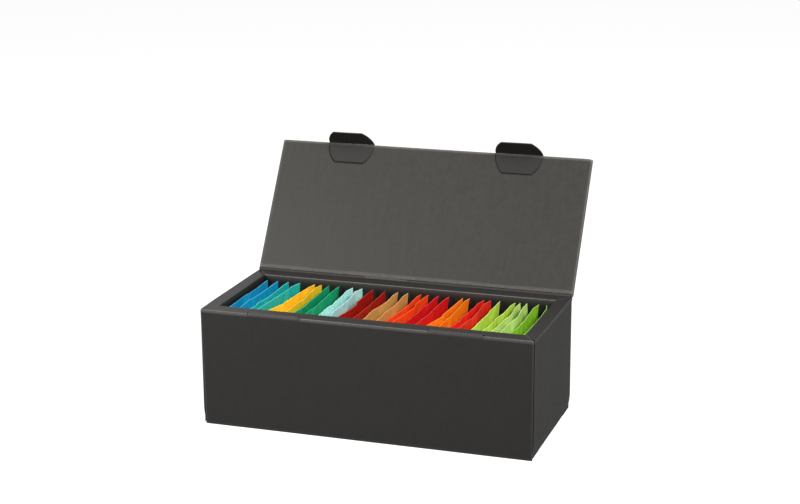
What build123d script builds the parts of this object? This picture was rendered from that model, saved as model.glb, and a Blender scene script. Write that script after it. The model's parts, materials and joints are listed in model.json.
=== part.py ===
from build123d import *
import os
from math import atan2, degrees, radians, sin, sqrt

# A long card tea box, open, with a row of flat tea envelopes standing in it on their edges.
#
# Millimetres, +Z up, +X along the box to the right, +Y to the back. The origin is the middle of the
# box's underside. Each wall is one sheet of board folded over at the top: an outer panel, a rim and
# an inner panel, hollow between. The lid is a second sheet, hinged along the top of the back wall:
# an outer panel with a liner folded back against it. Two tongues cut out of the liner stand on past
# the lid's front edge, and tuck into slots in the front rim when the box is shut.

# ---- driving dimensions ----------------------------------------------------------------------
box_length = 240.0        # outside, left to right
box_depth = 106.0         # outside, front to back
box_height = 84.0         # outside, underside to rim
board = 0.5               # thickness of one layer of board

side_rim = 10.0           # width of the rim on the left and right walls
long_rim = 12.0           # width of the rim on the front and back walls
fold_radius = 0.35        # outside radius of a folded edge
corner_gap = 0.8          # open seam between a long wall and the end of a side wall
flap_length = 18.0        # glue flap that a long wall turns behind each side wall
flap_margin = 1.0         # from the flap to the floor and to the rim

lid_setback = 2.0         # front edge of the shut lid, in from the front wall
lid_open = 122.5          # degrees from shut to the open pose shown
lid_clearance = 0.3       # lid to rim when shut, and lid to hinge line
liner_setback = 2.0       # hinge to the liner's lower edge
liner_inset = 0.6         # liner's ends, in from the lid's ends
lid_corner_radius = 0.8

tongue_width = 36.0       # where it joins the lid
tongue_length = 14.5
tongue_side_radius = 19.0
tongue_bend = 77.5        # degrees that each tongue is folded out of the lid's plane
tongue_offset = 65.0      # middle of each tongue, from the middle of the box
tongue_gap = 0.1          # crease between the lid's edge and the tongue

slot_end_clearance = 1.5  # slot past each end of the tongue
slot_width = 3.0
lip_height = 1.1          # edge of the front panel that stands up along each slot
lip_taper = 1.2

envelope_count = 28
envelope_clearance = 2.5  # to the front and back walls' inner panels
envelope_headroom = 4.8   # top edge to the rim
seal_thickness = 0.5      # two papers pressed together round the edge
seal_width = 7.0          # flat border at the sides and the foot
head_width = 13.0         # flat border above the filling
filling_gap = 2.8         # row pitch less the thickness of a filled envelope
pillow_steps = (          # share of the pillow's rise, inset from its foot, corner cut
    (1.0, 14.0, 9.0),
    (0.6, 5.0, 8.0),
    (0.0, 0.0, 4.0),
)
end_gap = 0.6             # first and last envelope to the side walls' inner panels
pocket_clearance = 0.2    # bottom edge of an envelope to the floor

# How far each envelope's top edge strays from its own place in the row, as shares of the row's
# pitch: the back end, then the front end. The bottom edges stand evenly.
top_edge_stray = (
    (-0.15, -0.35), (-0.1, -0.3), (0.0, -0.15), (0.3, -0.75), (0.75, -0.25), (0.25, 0.45),
    (0.1, -0.05), (-0.1, 0.0), (0.45, 0.5), (0.35, 0.45), (0.45, 0.2), (0.6, 0.7),
    (0.9, 0.4), (0.8, 0.75), (1.0, 0.8), (0.85, 0.3), (0.75, 0.35), (0.7, 0.55),
    (1.15, 0.7), (0.5, 0.85), (1.05, 1.1), (0.85, 0.4), (0.45, 0.7), (1.05, 0.55),
    (0.55, 0.45), (0.05, 0.4), (0.0, 0.35), (-0.2, 0.4),
)

# ---- worked out from them --------------------------------------------------------------------
bay_length = box_length - 2 * side_rim
bay_depth = box_depth - 2 * long_rim
lid_length = box_depth - lid_setback
row_pitch = (bay_length - 2 * end_gap) / envelope_count
filled_thickness = row_pitch - filling_gap
envelope_width = bay_depth - 2 * envelope_clearance
envelope_height = box_height - board - pocket_clearance - envelope_headroom
slot_length = tongue_width + 2 * slot_end_clearance
hinge_line = Axis((0, box_depth / 2, box_height), (1, 0, 0))
liner_top = lid_clearance + board
LOW = (Align.CENTER, Align.MIN, Align.MIN)


def folded_wall(run, rim, next_rim, inset):
    """One folded wall along X with its outer face on Y = 0, its rim mitred to meet its neighbours."""
    span = run - 2 * inset
    outer = Box(span, board, box_height, align=LOW)
    rim_outline = Polygon(
        (-run / 2, 0), (run / 2, 0), (run / 2 - next_rim, rim), (next_rim - run / 2, rim), align=None
    )
    rim_sheet = Pos(0, 0, box_height - board) * extrude(rim_outline, board)
    rim_sheet &= Box(span, rim, box_height, align=LOW)
    inner = Box(run - 2 * next_rim, board, box_height - board, align=LOW)
    wall = outer + rim_sheet + Pos(0, rim - board, board) * inner
    folds = wall.edges().filter_by(Axis.X).group_by(Axis.Z)[-1]
    return fillet(folds, fold_radius)


def flap(run, side):
    """The end of a long wall, turned back to lie behind the side wall's outer panel."""
    tall = box_height - 2 * (board + flap_margin)
    place = Pos(side * (run / 2 - 1.5 * board), 0, board + flap_margin)
    return place * Box(board, flap_length, tall, align=LOW)


def long_wall():
    """A front or back wall: folded, with a glue flap at each end."""
    wall = folded_wall(box_length, long_rim, side_rim, board)
    return wall + flap(box_length, 1) + flap(box_length, -1)


def side_wall():
    return folded_wall(box_depth, side_rim, long_rim, corner_gap)


def front_wall():
    """The front wall with a slot in its rim for each tongue, and the lip that stands along it."""
    wall = long_wall()
    for side in (-1, 1):
        middle = side * tongue_offset
        slot = Box(slot_length, slot_width, 4 * board, align=LOW)
        wall -= Pos(middle, board, box_height - 2 * board) * slot
        half = slot_length / 2
        outline = Polygon(
            (-half, -board), (half, -board), (half, 0),
            (half - lip_taper, lip_height), (lip_taper - half, lip_height), (-half, 0), align=None
        )
        lip = extrude(Plane.XZ * outline, -board)
        wall += Pos(middle, 0, box_height) * lip
    return wall


def tongue_outline():
    """Straight across the end, with a round side at each hand that leaves the crease squarely."""
    centre = tongue_width / 2 - tongue_side_radius
    end_half = centre + sqrt(tongue_side_radius**2 - tongue_length**2)
    sweep = degrees(atan2(tongue_length, end_half - centre))
    right = CenterArc((centre, 0), tongue_side_radius, 0, sweep)
    left = CenterArc((-centre, 0), tongue_side_radius, 180 - sweep, sweep)
    end = Line((end_half, tongue_length), (-end_half, tongue_length))
    crease = Line((-tongue_width / 2, 0), (tongue_width / 2, 0))
    return make_face([crease, right, end, left])


def lid_sheet(start, inset, height):
    """One layer of the shut lid, from a distance past the hinge to the front edge."""
    long = lid_length - start
    outline = Rectangle(box_length - 2 * inset, long, align=(Align.CENTER, Align.MAX))
    sheet = extrude(outline, board)
    sheet = fillet(sheet.edges().filter_by(Axis.Z).group_by(Axis.Y)[0], lid_corner_radius)
    return Pos(0, box_depth / 2 - start, box_height + height) * sheet


def opened(shape):
    """Turns a piece of the shut lid about the hinge to the open pose."""
    return shape.rotate(hinge_line, -lid_open)


def lid_outer():
    return opened(lid_sheet(lid_clearance, 0, liner_top))


def lid_liner():
    """The liner, with the two openings that the tongues were cut from."""
    sheet = lid_sheet(liner_setback, liner_inset, lid_clearance)
    front = box_depth / 2 - lid_length
    for side in (-1, 1):
        notch = extrude(tongue_outline(), 4 * board)
        sheet -= Pos(side * tongue_offset, front, box_height + lid_clearance - board) * notch
    return opened(sheet)


def tongue(side):
    """One tongue: cut to the outline, folded down at its crease, then opened with the lid."""
    front = box_depth / 2 - lid_length
    flat = extrude(tongue_outline(), board)
    flat = Pos(side * tongue_offset, front - tongue_gap, box_height + liner_top) * Rot(180) * Pos(
        0, 0, -board
    ) * flat
    crease = Axis((0, front, box_height + liner_top), (1, 0, 0))
    return opened(flat.rotate(crease, tongue_bend))


def outline_points(wide, tall, cut, height):
    """A rectangle with cut corners at a height along X, as eight points in order round it."""
    y, z = wide / 2, tall / 2
    quarter = [(y, z - cut), (y - cut, z)]
    half = quarter + [(-a, b) for a, b in reversed(quarter)]
    ring = half + [(-a, -b) for a, b in half]
    return [Vector(height, a, b) for a, b in ring]


def stacked(outlines):
    """A closed solid with flat faces, through outlines that have as many points each."""
    faces = [Face(Wire.make_polygon(outlines[0])), Face(Wire.make_polygon(outlines[-1]))]
    for low, high in zip(outlines, outlines[1:]):
        for i in range(len(low)):
            corners = [low[i - 1], low[i], high[i], high[i - 1]]
            faces.append(Face(Wire.make_polygon(corners)))
    return Solid(Shell(faces))


def envelope(index):
    """A filled envelope: a flat sealed edge all round and a low pillow on each face.

    The pillows are one solid that runs through the sealed edge. Its outlines have cut corners, and
    shrink as they rise to each side. It leans by the mean stray of its top edge's two ends. The foot
    stays square, so it turns by half the angle between them.
    """
    seal = Box(seal_thickness, envelope_width, envelope_height)
    wide = envelope_width - 2 * seal_width
    tall = envelope_height - seal_width - head_width
    rise = (filled_thickness - seal_thickness) / 2
    half = [(seal_thickness / 2 + rise * out, inset, cut) for out, inset, cut in pillow_steps]
    outlines = [
        outline_points(wide - 2 * inset, tall - 2 * inset, cut, height)
        for height, inset, cut in half + [(-height, inset, cut) for height, inset, cut in reversed(half)]
    ]
    shape = seal + Pos(0, 0, (seal_width - head_width) / 2) * stacked(outlines)
    foot = end_gap - bay_length / 2 + row_pitch * (index + 0.5)
    back, front = (stray * row_pitch for stray in top_edge_stray[index])
    lean = degrees(atan2((back + front) / 2, envelope_height))
    turn = degrees(atan2(front - back, envelope_width)) / 2
    base = board + pocket_clearance + seal_thickness * sin(radians(abs(lean)))
    upright = Pos(0, 0, envelope_height / 2) * shape
    return Pos(foot, 0, base) * Rot(0, lean, 0) * Rot(0, 0, turn) * upright


def build():
    """Every piece by name, each in its place."""
    floor = Box(box_length - 2 * board, box_depth - 2 * board, board,
                align=(Align.CENTER, Align.CENTER, Align.MIN))
    pieces = {
        "base_panel": floor,
        "front_wall": Pos(0, -box_depth / 2, 0) * front_wall(),
        "back_wall": Pos(0, box_depth / 2, 0) * Rot(0, 0, 180) * long_wall(),
        "left_wall": Pos(-box_length / 2, 0, 0) * Rot(0, 0, -90) * side_wall(),
        "right_wall": Pos(box_length / 2, 0, 0) * Rot(0, 0, 90) * side_wall(),
        "lid_outer": lid_outer(),
        "lid_liner": lid_liner(),
        "tab_left": tongue(-1),
        "tab_right": tongue(1),
    }
    for index in range(envelope_count):
        pieces[f"envelope_{index + 1:02d}"] = envelope(index)
    return pieces


os.makedirs("parts", exist_ok=True)
for name, piece in build().items():
    export_step(piece, f"parts/{name}.step")
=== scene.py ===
"""Looks of an open card tea box: black printed board, worn at its folds, and a row of paper envelopes.

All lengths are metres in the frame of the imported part. Every new piece is a surface worked out on a
grid: rows run across a fold or up a face, columns run along it.
"""
import json
import math

import bpy
import numpy as np
from mathutils import Matrix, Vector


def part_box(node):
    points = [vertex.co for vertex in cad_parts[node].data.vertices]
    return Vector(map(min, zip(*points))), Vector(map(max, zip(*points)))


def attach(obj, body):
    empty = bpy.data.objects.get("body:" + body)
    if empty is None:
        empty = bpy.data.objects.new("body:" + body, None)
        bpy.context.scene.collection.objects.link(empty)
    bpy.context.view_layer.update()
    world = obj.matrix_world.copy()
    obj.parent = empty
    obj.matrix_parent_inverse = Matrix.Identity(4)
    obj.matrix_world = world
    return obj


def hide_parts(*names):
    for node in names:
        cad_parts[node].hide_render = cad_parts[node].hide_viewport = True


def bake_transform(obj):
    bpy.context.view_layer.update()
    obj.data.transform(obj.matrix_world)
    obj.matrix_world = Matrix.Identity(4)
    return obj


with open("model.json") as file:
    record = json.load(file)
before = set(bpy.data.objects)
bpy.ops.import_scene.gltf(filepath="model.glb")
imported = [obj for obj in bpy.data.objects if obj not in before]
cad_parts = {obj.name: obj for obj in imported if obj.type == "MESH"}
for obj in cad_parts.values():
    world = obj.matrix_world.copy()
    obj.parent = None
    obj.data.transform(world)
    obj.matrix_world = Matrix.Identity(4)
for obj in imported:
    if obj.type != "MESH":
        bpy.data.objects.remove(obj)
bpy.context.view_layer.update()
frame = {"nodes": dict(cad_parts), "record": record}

MM = 0.001

# ---- sizes read from the frame -----------------------------------------------------------------
HALF_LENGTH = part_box("lid_outer")[1][0]
HALF_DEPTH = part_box("back_wall")[1][1]
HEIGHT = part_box("left_wall")[1][2]
LONG_RIM = HALF_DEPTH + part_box("front_wall")[0][1] + 12 * MM
SIDE_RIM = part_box("right_wall")[1][0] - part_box("right_wall")[0][0]
LID_LEAN = math.radians(-frame["record"]["behaviour"]["joints"][0]["range_deg"][0] - 90)
LID_DIR = np.array([0.0, math.sin(LID_LEAN), math.cos(LID_LEAN)])
LID_OUT = np.array([0.0, math.cos(LID_LEAN), -math.sin(LID_LEAN)])
HINGE = np.array([0.0, HALF_DEPTH, HEIGHT])

# ---- sizes of the board and its folds ----------------------------------------------------------
BOARD = 0.48 * MM           # one layer as drawn, a hair under the frame's half millimetre
FOLD = 0.6 * MM             # outside radius of a fold
SLOT_WIDTH = 3.0 * MM
LIP = 1.1 * MM              # how far the front panel's edge stands up along a slot
LIP_TAPER = 1.2 * MM        # from the end of a slot to the lip's full height
LIP_FOOT = 2.2 * MM         # depth of the panel's edge that is drawn up with the lip
MITRE_STRETCH = 4 * MM      # last stretch of a wall, whose columns close in to the mitre
COLUMN = 0.65 * MM          # about the width of a wall's other columns
# Painted shade: the inner panels are darkened in colour for the little light that reaches them over the
# envelopes.
INSIDE_SHADE = 0.55         # darkening of the inner panels, over the envelopes
FLOOR_INSET = 2.4 * MM
FLAP_REACH = 118.0 * MM     # middle of the box to where a corner flap starts to turn
FLAP_LENGTH = 18 * MM
HINGE_SKIN = 0.1 * MM
CRIMP = 1.25 * MM           # between the ridges of an envelope's seal
TONGUE_BEND = math.radians(77.5)
LINER_FACE = 0.3 * MM       # liner's face above the hinge line, measured square to the lid
OUTER_FACE = 0.8 * MM
SEED = 41

# parts of a folded wall's section, in order from its foot
FOOT, PANEL, TURN, RIM, BROW, INNER = range(6)


def node_points(name):
    """The vertices of a frame node as an array."""
    mesh = frame["nodes"][name].data
    flat = np.empty(len(mesh.vertices) * 3)
    mesh.vertices.foreach_get("co", flat)
    return flat.reshape(-1, 3)


LID_LENGTH = float(((node_points("lid_outer") - HINGE) @ LID_DIR).max())
TONGUE_X = (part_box("tab_right")[0][0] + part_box("tab_right")[1][0]) / 2
TONGUE_HALF = (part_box("tab_right")[1][0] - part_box("tab_right")[0][0]) / 2
TONGUE_LENGTH = 14.5 * MM
TONGUE_RADIUS = 19 * MM
SLOT_HALF = TONGUE_HALF + 1.5 * MM


# ---- meshes ------------------------------------------------------------------------------------
def grid_faces(rows, columns, keep=None):
    """Quads of a grid, each one up a row and along a column, less those that keep leaves out."""
    first = np.arange(rows * columns).reshape(rows, columns)[:-1, :-1]
    quads = np.stack([first, first + 1, first + columns + 1, first + columns], axis=-1)
    return quads.reshape(-1, 4) if keep is None else quads[keep]


def add_mesh(name, points, faces, attributes=None, uv=None):
    """A mesh object from arrays, with float attributes and a map of metres for each vertex."""
    mesh = bpy.data.meshes.new(name)
    points = np.asarray(points, dtype=float).reshape(-1, 3)
    used = np.unique(faces)
    order = np.zeros(len(points), dtype=int)
    order[used] = np.arange(len(used))
    faces = order[faces]
    mesh.from_pydata(points[used].tolist(), [], faces.tolist())
    for key, values in (attributes or {}).items():
        layer = mesh.attributes.new(key, "FLOAT", "POINT")
        layer.data.foreach_set("value", np.asarray(values, dtype=float).reshape(-1)[used])
    if uv is not None:
        corner = np.asarray(uv, dtype=float).reshape(-1, 2)[used][faces.reshape(-1)]
        mesh.uv_layers.new(name="metres").data.foreach_set("uv", corner.reshape(-1))
    mesh.shade_smooth()
    mesh.update()
    made = bpy.data.objects.new(name, mesh)
    bpy.context.scene.collection.objects.link(made)
    return made


def thicken(piece, thickness=BOARD):
    """Gives a skin its board thickness on the side away from its face."""
    solid = piece.modifiers.new("board", "SOLIDIFY")
    solid.thickness = thickness
    solid.offset = -1
    solid.use_even_offset = True
    return piece


def near(distance, reach):
    """One at a line and falling away smoothly over a reach."""
    return np.exp(-((distance / reach) ** 2))


def ripples(a, b, waves, seed):
    """A gentle unevenness: a sum of waves in two directions with seeded phases, about one high."""
    draw = np.random.default_rng(seed)
    total = np.zeros(np.broadcast(a, b).shape)
    for across, along in waves:
        phase = draw.uniform(0, 2 * math.pi, 2)
        total = total + np.sin(a * across + phase[0]) * np.sin(b * along + phase[1])
    return total / len(waves)


# ---- materials ---------------------------------------------------------------------------------
def linear(code):
    """An sRGB hex colour as linear red, green, blue and one."""
    parts = [int(code[i:i + 2], 16) / 255 for i in (1, 3, 5)]
    return [c / 12.92 if c <= 0.04045 else ((c + 0.055) / 1.055) ** 2.4 for c in parts] + [1.0]


def add(tree, kind, inputs=None, **settings):
    """Adds a node of a kind with its settings; its inputs are values or other nodes' sockets."""
    made = tree.nodes.new(kind)
    for key, value in settings.items():
        setattr(made, key, value)
    for key, value in (inputs or {}).items():
        if isinstance(value, bpy.types.NodeSocket):
            tree.links.new(value, made.inputs[key])
        else:
            made.inputs[key].default_value = value
    return made


def new_material(name):
    """A material with an empty node tree, and the tree."""
    material = bpy.data.materials.new(name)
    material.use_nodes = True
    material.node_tree.nodes.clear()
    return material, material.node_tree


def cells(size):
    """Scale of a noise whose cells are a size in millimetres across."""
    return 1 / (size * MM)


def printed_board(name, ink, worn, mottle, streak, roughness):
    """Solid board under a matt black print: near black, a soft satin gloss, and grey at worn folds.

    The mottle is the unevenness of the ink over the fibres, a few millimetres across, and the streaks
    run with the board's grain. Wear comes from the piece's own attribute, broken up by fine noise. A
    second attribute paints shade: it darkens the lining along the edge of a notch and the inner panels
    inside the box.
    """
    material, tree = new_material(name)
    place = add(tree, "ShaderNodeTexCoord").outputs["Object"]
    wear, painted_shade = (
        add(tree, "ShaderNodeAttribute", attribute_name=key).outputs["Fac"] for key in ("wear", "painted_shade"))
    cloud = add(tree, "ShaderNodeTexNoise",
                {"Vector": place, "Scale": cells(4.35), "Detail": 8.0, "Roughness": 0.75})
    grain_way = add(tree, "ShaderNodeMapping",
                    {"Vector": place, "Scale": (cells(2.38), cells(16.7), cells(38.5))})
    grain = add(tree, "ShaderNodeTexNoise", {"Vector": grain_way.outputs[0], "Scale": 1.0, "Detail": 4.0})
    fibre = add(tree, "ShaderNodeTexNoise", {"Vector": place, "Scale": cells(0.77), "Detail": 3.0})
    shade = add(tree, "ShaderNodeMath",
                {0: cloud.outputs[0], 1: mottle, 2: 1.0 - mottle / 2 - streak / 2}, operation="MULTIPLY_ADD")
    shade = add(tree, "ShaderNodeMath",
                {0: grain.outputs[0], 1: streak, 2: shade.outputs[0]}, operation="MULTIPLY_ADD")
    colour = add(tree, "ShaderNodeMix",
                 {0: 1.0, 6: linear(ink), 7: shade.outputs[0]}, data_type="RGBA", blend_type="MULTIPLY")
    chips = add(tree, "ShaderNodeTexNoise",
                {"Vector": place, "Scale": cells(2.38), "Detail": 5.0, "Roughness": 0.7})
    chips = add(tree, "ShaderNodeMapRange", {0: chips.outputs[0], 1: 0.32, 2: 0.62, 3: 0.6, 4: 1.0})
    rubbed = add(tree, "ShaderNodeMath", {0: wear, 1: chips.outputs[0]}, operation="MULTIPLY", use_clamp=True)
    colour = add(tree, "ShaderNodeMix",
                 {0: rubbed.outputs[0], 6: colour.outputs[2], 7: linear(worn)}, data_type="RGBA")
    # Painted shade: where the second attribute is set, the colour is mixed towards near black.
    colour = add(tree, "ShaderNodeMix",
                 {0: painted_shade, 6: colour.outputs[2], 7: linear("#060606")}, data_type="RGBA")
    gloss = add(tree, "ShaderNodeMapRange",
                {0: cloud.outputs[0], 1: 0.3, 2: 0.7, 3: roughness - 0.04, 4: roughness + 0.05})
    gloss = add(tree, "ShaderNodeMath",
                {0: rubbed.outputs[0], 1: 0.25, 2: gloss.outputs[0]}, operation="MULTIPLY_ADD", use_clamp=True)
    relief = add(tree, "ShaderNodeBump",
                 {"Height": fibre.outputs[0], "Strength": 0.25, "Distance": 0.04 * MM})
    relief = add(tree, "ShaderNodeBump", {
        "Height": cloud.outputs[0], "Strength": 0.35, "Distance": 0.12 * MM, "Normal": relief.outputs[0]})
    surface = add(tree, "ShaderNodeBsdfPrincipled", {
        "Base Color": colour.outputs[2], "Roughness": gloss.outputs[0], "Normal": relief.outputs[0],
        "IOR": 1.45, "Specular IOR Level": 0.32,
    })
    add(tree, "ShaderNodeOutputMaterial", {"Surface": surface.outputs[0]})
    return material


def envelope_paper(name, code, edge_and_highlight_code):
    """Coated paper with a solid print: smooth, softly shiny, pale at its cut edge, with a painted highlight on
    that edge and along creases.

    The sealed border is crimped: fine ridges a millimetre and a quarter apart, across the seal.
    """
    material, tree = new_material(name)
    place = add(tree, "ShaderNodeTexCoord").outputs["Object"]
    edge, crease, seal = (
        add(tree, "ShaderNodeAttribute", attribute_name=key).outputs["Fac"]
        for key in ("edge", "crease", "seal"))
    cloud = add(tree, "ShaderNodeTexNoise", {"Vector": place, "Scale": cells(5.26), "Detail": 4.0})
    tone = add(tree, "ShaderNodeMapRange", {0: cloud.outputs[0], 1: 0.3, 2: 0.7, 3: 0.86, 4: 1.1})
    colour = add(tree, "ShaderNodeMix",
                 {0: 1.0, 6: linear(code), 7: tone.outputs[0]}, data_type="RGBA", blend_type="MULTIPLY")
    # Painted highlight: creases and the cut edge are mixed towards the paler edge colour; at the edge this is
    # partly the paper's own pale cut edge.
    pale = add(tree, "ShaderNodeMath",
               {0: crease, 1: 0.45, 2: edge}, operation="MULTIPLY_ADD", use_clamp=True)
    colour = add(tree, "ShaderNodeMix",
                 {0: pale.outputs[0], 6: colour.outputs[2], 7: linear(edge_and_highlight_code)}, data_type="RGBA")
    flat = add(tree, "ShaderNodeUVMap", uv_map="metres")
    across = add(tree, "ShaderNodeSeparateXYZ", {0: flat.outputs[0]})
    ridge = add(tree, "ShaderNodeMath", {0: across.outputs[0], 1: 2 * math.pi / CRIMP}, operation="MULTIPLY")
    ridge = add(tree, "ShaderNodeMath", {0: ridge.outputs[0]}, operation="SINE")
    ridge = add(tree, "ShaderNodeMath", {0: ridge.outputs[0], 1: seal}, operation="MULTIPLY")
    relief = add(tree, "ShaderNodeBump", {"Height": ridge.outputs[0], "Strength": 0.5, "Distance": 0.09 * MM})
    crumple = add(tree, "ShaderNodeTexNoise", {"Vector": place, "Scale": cells(3.03), "Detail": 3.0})
    relief = add(tree, "ShaderNodeBump", {
        "Height": crumple.outputs[0], "Strength": 0.5, "Distance": 0.3 * MM, "Normal": relief.outputs[0]})
    surface = add(tree, "ShaderNodeBsdfPrincipled", {
        "Base Color": colour.outputs[2], "Roughness": 0.42, "Normal": relief.outputs[0], "IOR": 1.45,
    })
    add(tree, "ShaderNodeOutputMaterial", {"Surface": surface.outputs[0]})
    return material


OUTSIDE = printed_board(
    "board_black_matt_print", ink="#242321", worn="#8f8a86", mottle=0.6, streak=0.15, roughness=0.52)
# Painted light: the lining is the same black board as the outside; its lighter ink and worn colour stand for
# the light that the lid's tilted inner face catches.
LINING_PAINTED_LIGHT = printed_board(
    "board_black_lining_painted_light", ink="#302e2a", worn="#99948e", mottle=1.0, streak=0.4, roughness=0.5)


def finish_piece(piece, body, material, slot, *nodes):
    """Gives a piece its material and its body, and hides the frame nodes that it stands for. The slot is not
    used.
    """
    piece.data.materials.append(material)
    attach(piece, body)
    if nodes:
        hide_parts(*nodes)
    return piece


# ---- the walls ---------------------------------------------------------------------------------
def quarter(steps):
    """Angles of a quarter turn."""
    return np.linspace(0, math.pi / 2, steps)


def wall_profile(rim):
    """Distance in from the outer face, height, and a part number for each row of a folded wall.

    Up the outer panel from a rounded foot, a quarter turn, across the rim, a quarter turn, and down.
    """
    foot, turn = quarter(5), quarter(6)
    y = [FOLD * (1 - np.sin(foot)), np.zeros(44), FOLD * (1 - np.cos(turn)),
         np.union1d(np.linspace(FOLD, rim - FOLD, 13), [BOARD + SLOT_WIDTH])[1:-1],
         rim - FOLD * (1 - np.sin(turn)), np.full(20, rim)]
    rise = np.concatenate([np.linspace(FOLD, 16 * MM, 12), np.linspace(16 * MM, HEIGHT - FOLD, 34)[1:]])[1:]
    z = [FOLD * (1 - np.cos(foot)), rise, HEIGHT - FOLD * (1 - np.sin(turn)),
         np.full(len(y[3]), HEIGHT),
         HEIGHT - FOLD * (1 - np.cos(turn)), np.linspace(HEIGHT - FOLD, BOARD, 21)[1:]]
    part = [np.full(len(values), number) for number, values in enumerate(y)]
    return np.concatenate(y), np.concatenate(z), np.concatenate(part)


def wall_columns(half_inner, slots):
    """Places along a wall, each one's share of the last stretch, and where that stretch begins.

    Columns are even over the middle, with one at each end of a slot. Those of the last stretch at
    either end close in on the mitre in step with their share, which is negative at the left.
    """
    core = half_inner - MITRE_STRETCH
    inside = np.linspace(-core, core, int(core / COLUMN))
    for middle in slots:
        inside = np.union1d(inside, [middle - SLOT_HALF, middle + SLOT_HALF])
    tail = np.linspace(0, 1, 15)[1:]
    share = np.concatenate([-tail[::-1], np.zeros(len(inside)), tail])
    base = np.concatenate([np.full(len(tail), -core), inside, np.full(len(tail), core)])
    return base, share, core


def folded_wall(name, rim, half_inner, left_end, right_end, dent, wear, slots=()):
    """A folded wall along X with its outer face on Y = 0, as a skin; build_walls gives it its board thickness.

    left_end and right_end give the outer panel's ends by height. On the rim the ends close in along
    the mitre, in step with the distance in, and the inner panel ends at half_inner. dent is how far
    the outer panel lies in from its plane, by place. wear is the strength of the rubbing at the foot,
    the outer fold, the inner fold, the mitres and the upright ends.
    """
    y, z, part = wall_profile(rim)
    base, share, core = wall_columns(half_inner, slots)
    in_share = np.clip(y / rim, 0, 1)[:, None]
    left = left_end(z)[:, None] * (1 - in_share) + half_inner * in_share
    right = right_end(z)[:, None] * (1 - in_share) + half_inner * in_share
    x = base + share * (np.where(share < 0, left, right) - core)
    y = y[:, None] + 0 * x
    z = z[:, None] + 0 * x
    panel, on_rim, inner = ((part == number)[:, None] for number in (PANEL, RIM, INNER))
    y = y + dent(x, z) * (part <= TURN)[:, None] * np.clip((rim - y) / rim, 0, 1) ** 2
    hollow = 0.5 * MM * np.sin(np.clip(z / HEIGHT, 0, 1) * math.pi)
    y = y - hollow * (0.6 + 0.4 * ripples(x, z, ((45, 30), (80, 50)), SEED + 3)) * inner
    z = z - 0.12 * MM * (1 + ripples(x, y, ((90, 60), (160, 90)), SEED + 4)) * on_rim
    height = z - HEIGHT
    keep = np.ones((x.shape[0] - 1, x.shape[1] - 1), dtype=bool)
    for middle in slots:
        raised = np.clip((SLOT_HALF - np.abs(x - middle)) / LIP_TAPER, 0, 1)
        stand = np.clip((z - (HEIGHT - FOLD - LIP_FOOT)) / LIP_FOOT, 0, 1) * panel
        z = z + raised * stand * (LIP + FOLD)
        within = np.abs((x[:-1, :-1] + x[:-1, 1:]) / 2 - middle) < SLOT_HALF - 1e-6
        over_slot = ((part[:-1] >= TURN) & (part[1:] <= RIM))[:, None]
        over_slot = over_slot & (y[1:, :-1] <= BOARD + SLOT_WIDTH + 1e-6)
        over_lip = ((part[:-1] == PANEL) & (part[1:] == TURN))[:, None]
        keep &= ~((over_slot | over_lip) & within)
    foot, crown, brow, mitre, upright = wear
    rub = crown * near(np.hypot(y, height), 0.42 * MM) + brow * near(np.hypot(y - rim, height), 0.42 * MM)
    rub = rub + foot * near(np.hypot(y, z), 0.6 * MM)
    to_end = np.minimum(np.abs(x + left), np.abs(right - x))
    rub = rub + mitre * near(to_end, 0.5 * MM) * on_rim + upright * near(to_end, 0.6 * MM) * panel
    points = np.stack([x, y, z], axis=-1)
    # Painted shade on the inner panels, which stand over the envelopes where little light falls.
    shades = {"wear": np.clip(rub, 0, 1), "painted_shade": INSIDE_SHADE * inner + 0 * x}
    return add_mesh(name, points, grid_faces(*x.shape, keep), shades)


def turn_to_side(piece, turn, x, y):
    """Turns a piece about Z by degrees and moves it, in its mesh."""
    piece.data.transform(Matrix.Translation((x, y, 0)) @ Matrix.Rotation(math.radians(turn), 4, "Z"))


def ends(top, foot):
    """An upright end that leans evenly from its foot to its top."""
    return lambda z: foot + (top - foot) * np.clip(z / HEIGHT, 0, 1)


def long_dent(seed):
    """A long panel: dished a little at the middle, with faint ripples, never proud of its plane."""
    def dent(x, z):
        along = np.cos(np.clip(x / HALF_LENGTH, -1, 1) * math.pi / 2)
        dish = 0.35 * MM * along * np.sin(z / HEIGHT * math.pi)
        return dish + 0.12 * MM * (1 + ripples(x, z, ((30, 40), (70, 25), (55, 90)), seed))
    return dent


def side_dent(seed):
    """A side panel: flat above, curling in towards its foot, and drawn in a little at its ends."""
    def dent(x, z):
        foot = 2.0 * MM * np.clip((13 * MM - z) / (13 * MM), 0, 1) ** 2
        edge = 0.5 * MM * np.clip(np.abs(x) / HALF_DEPTH, 0, 1) ** 3
        return foot + edge + 0.1 * MM * (1 + ripples(x, z, ((60, 50), (110, 35)), seed))
    return dent


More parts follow.
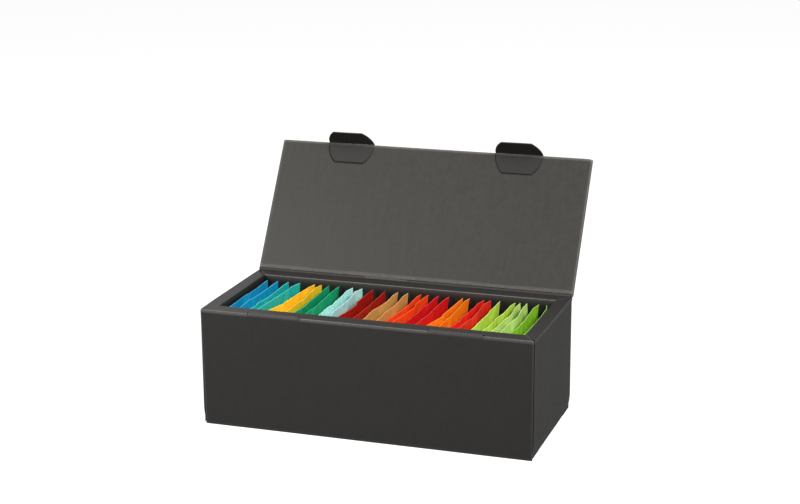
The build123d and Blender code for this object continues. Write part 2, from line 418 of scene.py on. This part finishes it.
def build_walls():
    """The four folded walls, each made along X and turned to its side of the box.

    An outer panel ends a little short of the corner, and the front one narrows to its foot.
    """
    inner_long = HALF_LENGTH - SIDE_RIM
    inner_side = HALF_DEPTH - LONG_RIM
    front = folded_wall(
        "front_panel", LONG_RIM, inner_long, ends(119.2 * MM, 117.6 * MM), ends(118.7 * MM, 118.6 * MM),
        long_dent(SEED), (0.25, 1.0, 0.12, 0.45, 0.2), (-TONGUE_X, TONGUE_X))
    back = folded_wall(
        "back_panel", LONG_RIM, inner_long, ends(118.8 * MM, 118.0 * MM), ends(118.8 * MM, 118.0 * MM),
        long_dent(SEED + 1), (0.25, 0.1, 0.8, 0.1, 0.2))
    side_end = ends(HALF_DEPTH - 0.9 * MM, HALF_DEPTH - 0.9 * MM)
    left = folded_wall("left_panel", SIDE_RIM, inner_side, side_end, side_end,
                       side_dent(SEED + 5), (0.25, 0.12, 0.1, 0.1, 0.25))
    right = folded_wall("right_panel", SIDE_RIM, inner_side, side_end, side_end,
                        side_dent(SEED + 6), (0.25, 0.1, 0.1, 0.1, 0.2))
    turn_to_side(front, 0, 0, -HALF_DEPTH)
    turn_to_side(back, 180, 0, HALF_DEPTH)
    turn_to_side(left, -90, -HALF_LENGTH, 0)
    turn_to_side(right, 90, HALF_LENGTH, 0)
    nodes = ("front_wall", "back_wall", "left_wall", "right_wall")
    for piece, node in zip((front, back, left, right), nodes):
        thicken(piece)
        finish_piece(piece, "box", OUTSIDE, "black_board", node)


def build_floor():
    """The floor sheet, just inside the feet of the walls."""
    across = np.linspace(-HALF_LENGTH + FLOOR_INSET, HALF_LENGTH - FLOOR_INSET, 60)[None, :]
    along = np.linspace(-HALF_DEPTH + FOLD, HALF_DEPTH - FOLD, 30)[:, None]
    x, y = np.broadcast_arrays(across, along)
    z = BOARD + 0 * x
    floor = add_mesh("floor_panel", np.stack([x, y, z], axis=-1), grid_faces(*x.shape), {"wear": 0 * x})
    thicken(floor, BOARD * 0.98)
    finish_piece(floor, "box", LINING_PAINTED_LIGHT, "black_board", "base_panel")


def build_corner_flaps():
    """At each corner, the strip of board that turns a quarter round behind the side wall's panel."""
    turn = quarter(7)
    radius = 0.55 * MM
    for number, (side, end) in enumerate(((-1, -1), (1, -1), (-1, 1), (1, 1))):
        reach = FLAP_REACH + (0.2 * MM if number == 0 else 0)
        in_x = np.concatenate([reach + radius * np.sin(turn), np.full(14, reach + radius)])
        in_y = np.concatenate([radius * (1 - np.cos(turn)), np.linspace(radius, FLAP_LENGTH, 15)[1:]])
        levels = np.linspace(1.2 * MM, HEIGHT - 1.2 * MM, 24)[:, None]
        x = side * (in_x[None, :] + 0 * levels)
        y = end * (HALF_DEPTH - 0.25 * MM - in_y[None, :]) + 0 * levels
        z = levels + 0 * in_x[None, :]
        points = np.stack([x, y, z], axis=-1)
        if side * end > 0:
            points = points[:, ::-1]
        flap = add_mesh(f"corner_flap_{number + 1}", points, grid_faces(*x.shape), {"wear": 0 * x})
        thicken(flap, 0.4 * MM)
        finish_piece(flap, "box", OUTSIDE, "black_board")


# ---- the lid -----------------------------------------------------------------------------------
def on_lid(x, s, t):
    """Points of the open lid: along the box, up the lid from the hinge, and out from its inner side."""
    return HINGE + np.stack([x, 0 * x, 0 * x], axis=-1) + s[..., None] * LID_DIR + t[..., None] * LID_OUT


def lid_warp(x, s):
    """How far the lid lies in from flat: a shallow bow along it, and faint ripples."""
    bow = 0.12 * MM * (1 - np.cos(np.clip(x / HALF_LENGTH, -1, 1) * math.pi)) / 2
    return -0.05 * MM * (1 + ripples(x, s, ((26, 30), (60, 45)), SEED + 9)) - bow * s / LID_LENGTH


def tongue_reach(x):
    """Length of a tongue by place across it: round sides that leave the crease squarely, a flat end."""
    centre = TONGUE_RADIUS - TONGUE_HALF
    side = np.sqrt(np.clip(TONGUE_RADIUS**2 - (np.abs(x) + centre) ** 2, 0, None))
    return np.minimum(side, TONGUE_LENGTH)


def tongue_columns():
    """Places across a tongue, close together at its sides where the outline turns quickly."""
    return TONGUE_HALF * np.sin(np.linspace(-math.pi / 2, math.pi / 2, 61))


def lid_columns():
    """Places across the lid, closer together where the tongues are cut from its lining."""
    columns = np.linspace(-HALF_LENGTH, HALF_LENGTH, 170)
    for side in (-1, 1):
        columns = columns[np.abs(columns - side * TONGUE_X) > TONGUE_HALF + 0.4 * MM]
        columns = np.union1d(columns, side * TONGUE_X + tongue_columns())
    return columns


def lid_skin(name, start, inset, t, notched):
    """One layer of the lid. Rows run from near the hinge to the front edge, or to the notches' edge."""
    x = lid_columns()
    if notched:
        x = np.clip(x, inset - HALF_LENGTH, HALF_LENGTH - inset)
    else:
        x = x * (HALF_LENGTH - inset) / HALF_LENGTH
    corner = np.clip((np.abs(x) - (HALF_LENGTH - 4 * MM)) / (4 * MM), 0, 1) ** 2
    top = LID_LENGTH - 0.9 * MM * corner * np.where(x > 0, 1, 0.35)
    reach = np.zeros_like(x)
    if notched:
        top = top - 0.15 * MM
        for side in (-1, 1):
            local = np.abs(x - side * TONGUE_X)
            reach = np.where(local <= TONGUE_HALF, tongue_reach(local), reach)
        top = top - reach
    share = np.linspace(0, 1, 46)[:, None] ** 0.92
    s = start + share * (top[None, :] - start)
    x = np.broadcast_to(x[None, :], s.shape)
    points = on_lid(x, s, t + lid_warp(x, s))
    edge = near(s - start, 0.3 * MM) * 0.6 + 0.55 * near(top[None, :] - s, 0.5 * MM) * (reach == 0)[None, :]
    edge = edge + 0.4 * near(HALF_LENGTH - inset - np.abs(x), 0.6 * MM)
    # Painted shadow: a dark line on the lining along the edge of each notch.
    painted_shade = near(top[None, :] - s, 0.35 * MM) * (reach > 0)[None, :]
    return add_mesh(name, points, grid_faces(*s.shape), {"wear": np.clip(edge, 0, 1), "painted_shade": painted_shade})


def tongue(name, side, body, node):
    """A tongue folded in at the lid's front edge, its end curling a little."""
    cos, sin = math.cos(TONGUE_BEND), math.sin(TONGUE_BEND)
    outward = cos * LID_DIR - sin * LID_OUT
    inner = -(cos * LID_OUT + sin * LID_DIR)
    crease = HINGE + LID_LENGTH * LID_DIR + OUTER_FACE * LID_OUT + np.array([side * TONGUE_X, 0, 0])
    x = tongue_columns() * 0.999
    reach = np.maximum(tongue_reach(x), 0.5 * MM)
    share = np.linspace(0, 1, 24)[:, None]
    r = 0.1 * MM + share * (reach[None, :] - 0.15 * MM)
    x = np.broadcast_to(x[None, :], r.shape)
    curl = 0.35 * MM * (r / TONGUE_LENGTH) ** 2 * (1 + 0.5 * np.sin(x * 90 + side))
    points = crease + x[..., None] * np.array([1.0, 0, 0]) + r[..., None] * outward - curl[..., None] * inner
    rub = 0.5 * near(r, 0.5 * MM) + 0.25 * near(reach[None, :] - r, 0.5 * MM)
    piece = thicken(add_mesh(name, points, grid_faces(*r.shape), {"wear": rub}))
    return finish_piece(piece, body, OUTSIDE, "black_board", node)


def hinge_skin(name, path, seed):
    """A thin strip of board that carries on from the back wall to the lid, along a path in section.

    The path and the ends of the blend are millimetres back and up from the hinge line.
    """
    path = np.array(path) * MM
    x = np.linspace(-HALF_LENGTH + 0.5 * MM, HALF_LENGTH - 0.5 * MM, 160)[None, :]
    y = path[:, 0][:, None] + 0 * x
    z = path[:, 1][:, None] + 0 * x
    bump = 0.08 * MM * ripples(x, z, ((70, 200), (150, 90)), seed)
    points = np.stack([x + 0 * y, HALF_DEPTH + y + bump, HEIGHT + z + bump], axis=-1)
    middle = len(path) // 2
    rub = 0.15 * near(np.arange(len(path))[:, None] - middle, 1.1) + 0 * x
    skin = thicken(add_mesh(name, points, grid_faces(*y.shape), {"wear": rub}), HINGE_SKIN)
    skin.data.materials.append(OUTSIDE)
    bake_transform(skin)


def build_lid():
    """The lid's cover and lining, its two tongues, and the creased board on both sides of the hinge."""
    outer = thicken(lid_skin("lid_cover", 0.35 * MM, 0.0, OUTER_FACE + 0.01 * MM, False))
    finish_piece(outer, "lid", OUTSIDE, "black_board", "lid_outer")
    liner = thicken(lid_skin("lid_lining", 2.0 * MM, 0.6 * MM, LINER_FACE, True))
    finish_piece(liner, "lid", LINING_PAINTED_LIGHT, "black_board", "lid_liner")
    tongue("tongue_left", -1, "tongue_left", "tab_left")
    tongue("tongue_right", 1, "tongue_right", "tab_right")
    lean, out = LID_DIR[1:], LID_OUT[1:]
    behind = [tuple(s * lean + 1.36 * out) for s in (3.0, 1.6, 0.5)]
    behind += [(0.45, -0.5), (0.12, -0.9), (0.06, -1.6), (0.06, -3.0)]
    hinge_skin("hinge_crease_back", behind, SEED + 11)
    inside = [(-1.2, 0.1), (-0.5, 0.1), (0.0, 0.14)]
    inside += [tuple(s * lean + 0.74 * out) for s in (0.7, 1.3, 1.9)]
    hinge_skin("hinge_crease_front", inside, SEED + 12)


# ---- the envelopes -----------------------------------------------------------------------------
# One row of the list for each kind of tea, left to right: its paper, its paler cut edge, which also gives
# the painted highlight on that edge and along creases, and for each of its two envelopes the bend of the
# back border in degrees, and how far the front end of its top edge leans in millimetres, both towards +X.
TEAS = (
    ("blue", "#0d97c6", "#64c6e0", ((3, 0.0), (5, -0.5))),
    ("teal", "#17b3ae", "#7fe4da", ((8, -1.5), (16, -1.5))),
    ("yellow", "#ffcb20", "#ffe070", ((8, -5.5), (24, -1.5))),
    ("green", "#0f9a68", "#48b88c", ((4, 0.0), (3, 1.5))),
    ("aqua", "#b4ece6", "#e6fffb", ((26, -1.7), (30, -1.2))),
    ("dark_red", "#a5180f", "#bb4028", ((8, -1.4), (6, -1.2))),
    ("tan", "#cf9a52", "#e8bd82", ((10, -0.6), (12, -1.0))),
    ("orange_red", "#f24a14", "#ff7040", ((6, -3.2), (8, -3.0))),
    ("red", "#d4161a", "#e64a40", ((3, -3.0), (5, -3.0))),
    ("orange", "#f68410", "#ffa040", ((4, -5.0), (10, -2.8))),
    ("scarlet", "#e2261a", "#f0523c", ((20, -8.0), (22, -3.8))),
    ("lime", "#b9d94a", "#e6f090", ((3, -3.0), (8, -4.0))),
    ("pale_lime", "#bcdb74", "#dff0ac", ((10, -2.8), (12, -3.4))),
    ("leaf_green", "#86bf2a", "#bcdc74", ((12, -4.0), (-10, -2.0))),
)
SEAL = 7.5 * MM
HEAD = 9.0 * MM
PAPER = 0.2 * MM           # half the thickness of the sealed border


def corners_of(name):
    """The four corners of an envelope's sealed sheet: foot and top, each at the back and the front."""
    points = node_points(name)
    found = []
    for up in (-1, 1):
        for back in (1, -1):
            score = points[:, 1] * back + points[:, 2] * up
            found.append(points[score > score.max() - 0.25 * MM].mean(axis=0))
    return found


def pillow(share, low, high):
    """A swelling between two shares of a side: none outside them and a flattened dome inside."""
    centre, half = (low + high) / 2, (high - low) / 2
    return np.clip(1 - (np.abs(share - centre) / half) ** 2.4, 0, 1) ** 0.85


def kinks(across, up, draw, count):
    """Sharp creases: each turns the paper by a small slope past a slanted line near the top.

    Returns the rise of the paper and how near each point is to a crease, where a highlight is painted.
    """
    rise = np.zeros(across.shape)
    line = np.zeros(across.shape)
    for _ in range(count):
        angle = draw.uniform(-1.0, 1.0)
        centre = draw.uniform(14, 66) * MM
        level = draw.uniform(62, 76) * MM
        slope = draw.choice([-1, 1]) * draw.uniform(0.08, 0.22)
        past = (across - centre) * math.cos(angle) + (up - level) * math.sin(angle)
        nearby = near(up - level, 16 * MM) * near(across - centre, 20 * MM)
        rise += slope * np.clip(past, 0, 5 * MM) * nearby - 0.5 * slope * 2.5 * MM * nearby
        line += near(past, 0.45 * MM) * nearby * abs(slope) * 3
    return rise, np.clip(line, 0, 1)


def closed_faces(rows, columns):
    """Quads of two grids face to face, the second numbered after the first, joined along their rims."""
    first = grid_faces(rows, columns)
    second = first[:, ::-1] + rows * columns
    ring = np.concatenate([
        np.arange(columns), np.arange(1, rows) * columns + columns - 1,
        (rows - 1) * columns + np.arange(columns - 2, -1, -1), np.arange(rows - 2, 0, -1) * columns])
    follow = np.roll(ring, -1)
    border = np.stack([ring, ring + rows * columns, follow + rows * columns, follow], axis=-1)
    return np.concatenate([first[:, ::-1], second[:, ::-1], border[:, ::-1]])


def envelope(index, code_name, tip, nudge, material):
    """A filled envelope: two printed papers sealed at the border, swollen by the bag between them.

    A point is the sheet between the four corners, moved along the box by a slow wave, the kinks, the
    bend of its back border and the lean of its front end, and then by half the thickness to either
    face. The bend is taken back evenly over the sheet, so the top corner stays in its place. The
    corners stand up a little past the middle of the top edge, as on any pillow.
    """
    node = f"envelope_{index + 1:02d}"
    foot_back, foot_front, top_back, top_front = corners_of(node)
    wide = np.linalg.norm(top_back - top_front)
    tall = np.linalg.norm(top_back - foot_back)
    draw = np.random.default_rng(SEED * 100 + index)
    u = np.concatenate([np.linspace(0, 0.3, 44), np.linspace(0.3, 1, 66)[1:]])[None, :]
    v = np.concatenate([
        np.linspace(0, 0.62, 14), np.linspace(0.62, 0.96, 26)[1:], np.linspace(0.96, 1, 9)[1:]])
    v = v[:, None]
    across, up = u * wide + 0 * v, v * tall + 0 * u
    sheet = ((1 - v) * (1 - u))[..., None] * foot_back + ((1 - v) * u)[..., None] * foot_front
    sheet = sheet + (v * (1 - u))[..., None] * top_back + (v * u)[..., None] * top_front
    wave = 0.55 * MM * ripples(across, up, ((55, 30), (115, 45)), SEED * 7 + index) * (0.35 + 0.65 * v)
    rise, line = kinks(across, up, draw, 5)
    border = draw.uniform(7, 10) * MM
    bend = np.clip(border - across - 0.25 * (tall - up), 0, None) - border * (1 - u) ** 2 * v**2
    bend = math.tan(math.radians(tip)) * bend
    curl = draw.uniform(-0.8, 0.8) * MM * near(np.hypot(across, tall - up), 3.5 * MM)
    ease = 1 - np.abs(2 * u - 1) ** 4
    slack = 1.5 * MM
    shift = np.clip(wave + rise, -slack, slack) * ease + bend + curl + nudge * u**2 * v**3
    lift = (0.7 * MM + 0.7 * MM * np.abs(2 * u - 1) ** 3) * v**3
    draw_in = 0.8 * MM * np.sin(v * math.pi) * np.sign(0.5 - u) * np.abs(2 * u - 1) ** 3
    side = np.array([1.0, 0.0, 0.0])
    sheet = sheet + shift[..., None] * side
    sheet[..., 2] += lift
    sheet[..., 1] -= draw_in
    swell = 1.9 * MM * pillow(u, SEAL / wide, 1 - SEAL / wide) * pillow(v, SEAL / tall, 1 - HEAD / tall)
    pucker = np.sin(across / (2.1 * MM) + draw.uniform(0, 6)) * near(up - (tall - HEAD - 3 * MM), 7 * MM)
    pucker = 0.12 * MM * pucker
    half = PAPER + swell + np.abs(pucker) * 0.5
    right = sheet + (half + pucker)[..., None] * side
    left = sheet - (half - pucker)[..., None] * side
    to_edge = np.minimum(np.minimum(across, wide - across), np.minimum(up, tall - up))
    # The edge mark is partly the paper's pale cut edge and partly a painted highlight; the crease mark is a
    # painted highlight along the kinks.
    shades = {"edge": 0.7 * near(to_edge, 0.16 * MM), "crease": line,
              "seal": np.clip((SEAL - to_edge) / MM, 0, 1)}
    shades = {key: np.tile(values.reshape(-1), 2) for key, values in shades.items()}
    uv = np.stack([np.tile(across.reshape(-1), 2), np.tile(up.reshape(-1), 2)], axis=-1)
    points = np.concatenate([right.reshape(-1, 3), left.reshape(-1, 3)])
    piece = add_mesh(f"tea_{code_name}_{index % 2 + 1}", points, closed_faces(*across.shape), shades, uv)
    return finish_piece(piece, "box", material, f"{code_name}_paper", node)


def build_envelopes():
    """The row of envelopes, two of each kind of tea."""
    for kind, (name, code, edge_and_highlight_code, tips) in enumerate(TEAS):
        material = envelope_paper(f"coated_paper_{name}", code, edge_and_highlight_code)
        for which, (tip, nudge) in enumerate(tips):
            envelope(2 * kind + which, name, tip, nudge * MM, material)


# ---- the studio --------------------------------------------------------------------------------
def seen_or_mirrored(tree):
    """One for a ray from the camera, off a gloss or through glass, and nothing for any other."""
    path = add(tree, "ShaderNodeLightPath").outputs
    some = add(tree, "ShaderNodeMath",
               {0: path["Is Camera Ray"], 1: path["Is Glossy Ray"]}, operation="MAXIMUM")
    some = add(tree, "ShaderNodeMath",
               {0: some.outputs[0], 1: path["Is Transmission Ray"]}, operation="MAXIMUM")
    return some.outputs[0]


def build_world(ambient):
    """Soft light from all round, and white for what the camera sees past the floor or in a gloss."""
    world = bpy.data.worlds.new("studio")
    bpy.context.scene.world = world
    world.use_nodes = True
    tree = world.node_tree
    tree.nodes.clear()
    soft = add(tree, "ShaderNodeBackground", {"Color": (1, 1, 1, 1), "Strength": ambient})
    white = add(tree, "ShaderNodeBackground", {"Color": (1, 1, 1, 1), "Strength": 1.0})
    mixed = add(tree, "ShaderNodeMixShader",
                {0: seen_or_mirrored(tree), 1: soft.outputs[0], 2: white.outputs[0]})
    add(tree, "ShaderNodeOutputWorld", {"Surface": mixed.outputs[0]})


def build_ground():
    """A wide pale floor. To the camera it glows as well, so it is white where no shadow falls."""
    size = 30.0
    x, y = np.meshgrid(np.linspace(-size, size, 3), np.linspace(-size, size, 3))
    ground = add_mesh("studio_floor", np.stack([x, y, 0 * x], axis=-1), grid_faces(3, 3))
    material, tree = new_material("studio_paper_sweep")
    matt = add(tree, "ShaderNodeBsdfDiffuse", {"Color": linear("#a8a8a8")})
    glow = add(tree, "ShaderNodeEmission", {"Color": (1, 1, 1, 1), "Strength": 0.84})
    none = add(tree, "ShaderNodeEmission", {"Color": (0, 0, 0, 1), "Strength": 0.0})
    seen = add(tree, "ShaderNodeLightPath").outputs["Is Camera Ray"]
    extra = add(tree, "ShaderNodeMixShader", {0: seen, 1: none.outputs[0], 2: glow.outputs[0]})
    total = add(tree, "ShaderNodeAddShader", {0: matt.outputs[0], 1: extra.outputs[0]})
    add(tree, "ShaderNodeOutputMaterial", {"Surface": total.outputs[0]})
    ground.data.materials.append(material)


def toward(back):
    """A rotation whose Z looks back along a direction, and whose X lies level: three columns."""
    back = back / np.linalg.norm(back)
    right = np.cross([0, 0, 1.0], back)
    right = right / np.linalg.norm(right)
    return right, np.cross(back, right), back


def softbox(name, place, aim, wide, high, level):
    """A square lamp whose light on a surface that faces it at its aim is a level of one for plain white."""
    place, aim = np.array(place), np.array(aim)
    data = bpy.data.lights.new(name, "AREA")
    data.shape = "RECTANGLE"
    data.size, data.size_y = wide, high
    data.energy = level * math.pi**2 * float(((place - aim) ** 2).sum())
    lamp = bpy.data.objects.new(name, data)
    bpy.context.scene.collection.objects.link(lamp)
    turn = Matrix(np.stack(toward(place - aim), axis=1).tolist()).to_4x4()
    lamp.matrix_world = Matrix.Translation(place.tolist()) @ turn


def build_camera():
    """The camera: its place, its view round the box and down on it, a slight roll and a long lens."""
    azimuth, elevation, roll = (math.radians(a) for a in (18.530, 15.338, -0.320))
    level = math.cos(elevation)
    right, up, back = toward(np.array(
        [math.sin(azimuth) * level, -math.cos(azimuth) * level, math.sin(elevation)]))
    rolled_right = math.cos(roll) * right + math.sin(roll) * up
    rolled_up = math.cos(roll) * up - math.sin(roll) * right
    data = bpy.data.cameras.new("camera")
    data.sensor_width = 36.0
    data.lens = 80.58
    camera = bpy.data.objects.new("camera", data)
    bpy.context.scene.collection.objects.link(camera)
    turn = Matrix(np.stack([rolled_right, rolled_up, back], axis=1).tolist()).to_4x4()
    camera.matrix_world = Matrix.Translation((0.38899, -1.13326, 0.44944)) @ turn
    bpy.context.scene.camera = camera


bpy.context.scene.view_settings.view_transform = "Standard"
build_camera()
build_world(0.30)
build_ground()
softbox("key_softbox", (-0.62, -0.74, 0.60), (-0.02, 0.0, 0.1), 0.55, 0.5, 0.9)
softbox("right_softbox", (0.85, -0.35, 0.95), (0, 0, 0.07), 0.5, 0.5, 0.85)
build_walls()
build_floor()
build_corner_flaps()
build_lid()
build_envelopes()
